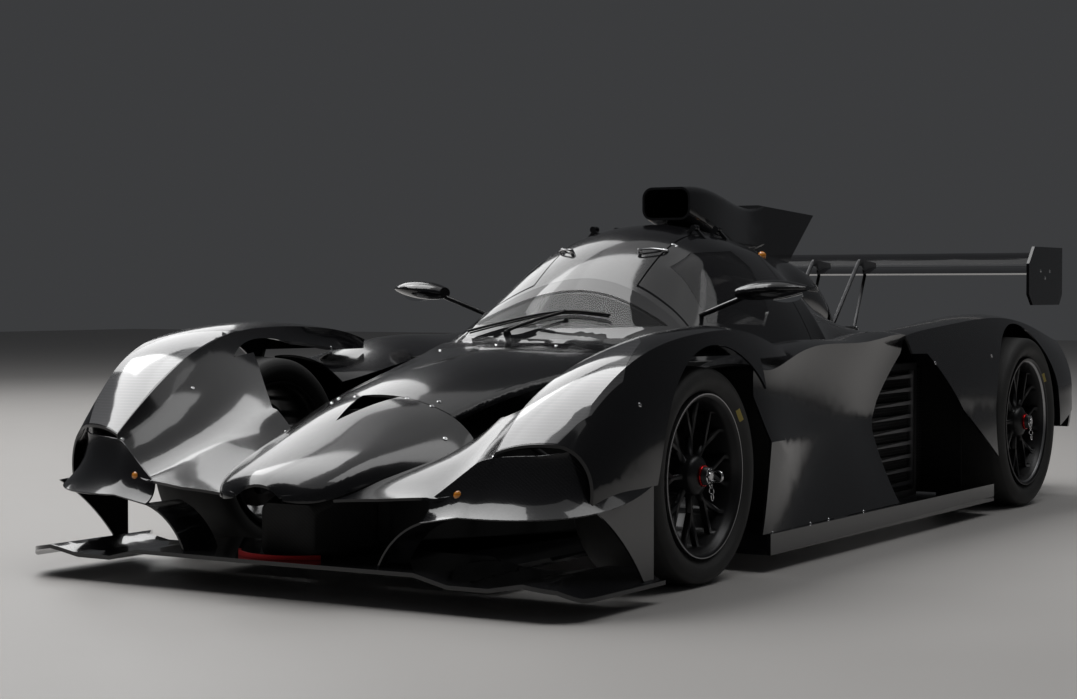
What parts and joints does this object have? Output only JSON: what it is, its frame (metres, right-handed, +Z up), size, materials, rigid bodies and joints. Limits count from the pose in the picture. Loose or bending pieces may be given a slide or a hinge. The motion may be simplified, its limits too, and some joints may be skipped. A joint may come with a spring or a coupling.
{
  "type": "closed cockpit track hypercar",
  "caption": "Low closed-cockpit track car with leaf-shaped nose, open front channels, lifting doors, roof scoop with fin, side inlets and rear wing.",
  "frame": {"origin": "on the floor, half way along and across the car", "axes": "+X to the car's left, -Y forward, +Z up"},
  "size_m": [2, 4.66, 1.2717],
  "materials": {
    "body": "gloss black lacquer over carbon",
    "carbon": "clear-coated carbon weave",
    "strap": "woven red webbing",
    "lens": "smoked clear cover",
    "glass": "lightly tinted polycarbonate",
    "lamp": "red lamp cover",
    "metal": "machined alloy",
    "steel": "satin tube",
    "tyre": "slick racing rubber",
    "rim": "satin black forged alloy",
    "grip": "matt grip"
  },
  "bodies": {
    "chassis": {"canopy_frame": "body", "crash_box": "carbon", "dashboard": "carbon", "diffuser": "carbon", "dive_planes": "carbon", "engine": "metal", "engine_cover": "body", "fender_front_left": "body", "fender_front_right": "body", "fender_rear_left": "body", "fender_rear_right": "body", "floor_pan": "carbon", "headlight_lenses": "lens", "hood": "body", "nose_cone": "body", "radiators": "metal", "rear_wing": "carbon", "roof_scoop": "body", "seat": "carbon", "sidepod_left": "body", "sidepod_right": "body", "splitter": "carbon", "suspension_front": "steel", "suspension_rear": "steel", "tail_lights": "lamp", "tail_panel": "body", "tow_strap": "strap", "tub": "carbon", "uprights_rear": "metal", "windshield": "glass", "wing_struts": "steel"},
    "knuckle_left": {"knuckle_left": "metal"},
    "knuckle_right": {"knuckle_right": "metal"},
    "wheel_front_left": {"tyre_front_left": "tyre", "rim_front_left": "rim"},
    "wheel_front_right": {"tyre_front_right": "tyre", "rim_front_right": "rim"},
    "wheel_rear_left": {"tyre_rear_left": "tyre", "rim_rear_left": "rim"},
    "wheel_rear_right": {"tyre_rear_right": "tyre", "rim_rear_right": "rim"},
    "door_left": {"door_left": "body", "door_glass_left": "glass", "mirror_left": "body"},
    "door_right": {"door_right": "body", "door_glass_right": "glass", "mirror_right": "body"},
    "steering_wheel": {"steering_wheel": "grip"}
  },
  "joints": [
    {"name": "steer_left", "type": "hinge", "parent": "chassis", "child": "knuckle_left", "pos_m": [0.685, -1.4, 0.327], "axis": [0, 0, 1], "range_deg": [-15, 15]},
    {"name": "steer_right", "type": "hinge", "parent": "chassis", "child": "knuckle_right", "pos_m": [-0.685, -1.4, 0.327], "axis": [0, 0, 1], "range_deg": [-15, 15]},
    {"name": "steering_wheel_turn", "type": "hinge", "parent": "chassis", "child": "steering_wheel", "pos_m": [0, -0.47, 0.61], "axis": [0, 0.9272, 0.3746], "range_deg": [-180, 180]},
    {"name": "wheel_front_left_roll", "type": "hinge", "parent": "knuckle_left", "child": "wheel_front_left", "pos_m": [0.799, -1.4, 0.327], "axis": [1, 0, 0], "continuous": true},
    {"name": "wheel_front_right_roll", "type": "hinge", "parent": "knuckle_right", "child": "wheel_front_right", "pos_m": [-0.799, -1.4, 0.327], "axis": [1, 0, 0], "continuous": true},
    {"name": "wheel_rear_left_roll", "type": "hinge", "parent": "chassis", "child": "wheel_rear_left", "pos_m": [0.8215, 1.38, 0.344], "axis": [1, 0, 0], "continuous": true},
    {"name": "wheel_rear_right_roll", "type": "hinge", "parent": "chassis", "child": "wheel_rear_right", "pos_m": [-0.8215, 1.38, 0.344], "axis": [1, 0, 0], "continuous": true},
    {"name": "door_left_lift", "type": "hinge", "parent": "chassis", "child": "door_left", "pos_m": [0.212, -0.1, 1.105], "axis": [0, -1, 0], "range_deg": [0, 70]},
    {"name": "door_right_lift", "type": "hinge", "parent": "chassis", "child": "door_right", "pos_m": [-0.212, -0.1, 1.105], "axis": [0, 1, 0], "range_deg": [0, 70]}
  ],
  "couplings": [
    {"joint": "steer_right", "follows": "steer_left", "ratio": 1},
    {"joint": "steering_wheel_turn", "follows": "steer_left", "ratio": 12}
  ]
}
